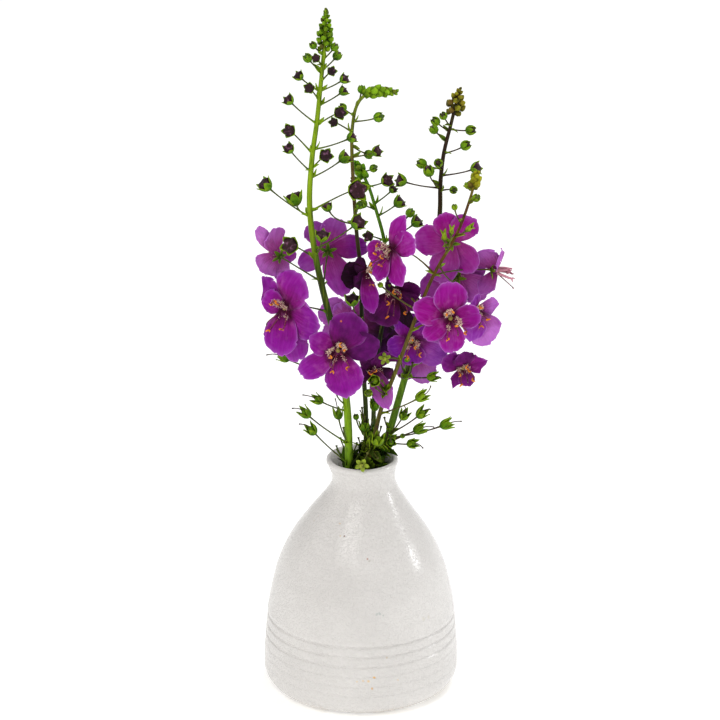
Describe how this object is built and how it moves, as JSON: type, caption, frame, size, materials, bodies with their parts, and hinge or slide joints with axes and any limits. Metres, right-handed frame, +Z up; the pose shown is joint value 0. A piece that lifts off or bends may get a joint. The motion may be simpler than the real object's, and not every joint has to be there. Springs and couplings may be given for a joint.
{
  "type": "mullein stem in vase",
  "caption": "Cut purple mullein stems with open flowers, buds and seed pods, standing in water in a small white ceramic bottle vase.",
  "frame": {"origin": "centre of the vase's flat foot, on the surface that it stands on", "axes": "+Z up, -Y towards the front that the picture shows, +X to the right in it"},
  "size_m": [0.1046, 0.0857, 0.2906],
  "materials": {
    "white_ceramic": "satin",
    "water": "gloss",
    "light_green_stem": "matte",
    "olive_stem": "matte",
    "green_stem": "matte",
    "dark_green_stem": "matte",
    "brown_stem": "matte",
    "purple_petal": "matte",
    "orange_stamen": "matte"
  },
  "bodies": {
    "root": {"vase": "white_ceramic", "water": "water", "left_stem": "light_green_stem", "bent_stem": "olive_stem", "back_stem": "green_stem", "right_stem": "dark_green_stem", "front_stem": "brown_stem", "bloom_01_petals": "purple_petal", "bloom_01_stamens": "orange_stamen", "bloom_02_petals": "purple_petal", "bloom_02_stamens": "orange_stamen", "bloom_03_petals": "purple_petal", "bloom_03_stamens": "orange_stamen", "bloom_04_petals": "purple_petal", "bloom_04_stamens": "orange_stamen", "bloom_05_petals": "purple_petal", "bloom_05_stamens": "orange_stamen", "bloom_06_petals": "purple_petal", "bloom_06_stamens": "orange_stamen", "bloom_07_petals": "purple_petal", "bloom_07_stamens": "orange_stamen", "bloom_08_petals": "purple_petal", "bloom_08_stamens": "orange_stamen", "bloom_09_petals": "purple_petal", "bloom_09_stamens": "orange_stamen", "bloom_10_petals": "purple_petal", "bloom_10_stamens": "orange_stamen", "bloom_11_petals": "purple_petal", "bloom_11_stamens": "orange_stamen", "bloom_12_petals": "purple_petal", "bloom_12_stamens": "orange_stamen", "bloom_13_petals": "purple_petal", "bloom_13_stamens": "orange_stamen", "bloom_14_petals": "purple_petal", "bloom_14_stamens": "orange_stamen", "bloom_15_petals": "purple_petal", "bloom_15_stamens": "orange_stamen", "bloom_16_petals": "purple_petal", "bloom_16_stamens": "orange_stamen", "bloom_17_petals": "purple_petal", "bloom_17_stamens": "orange_stamen"}
  },
  "joints": []
}
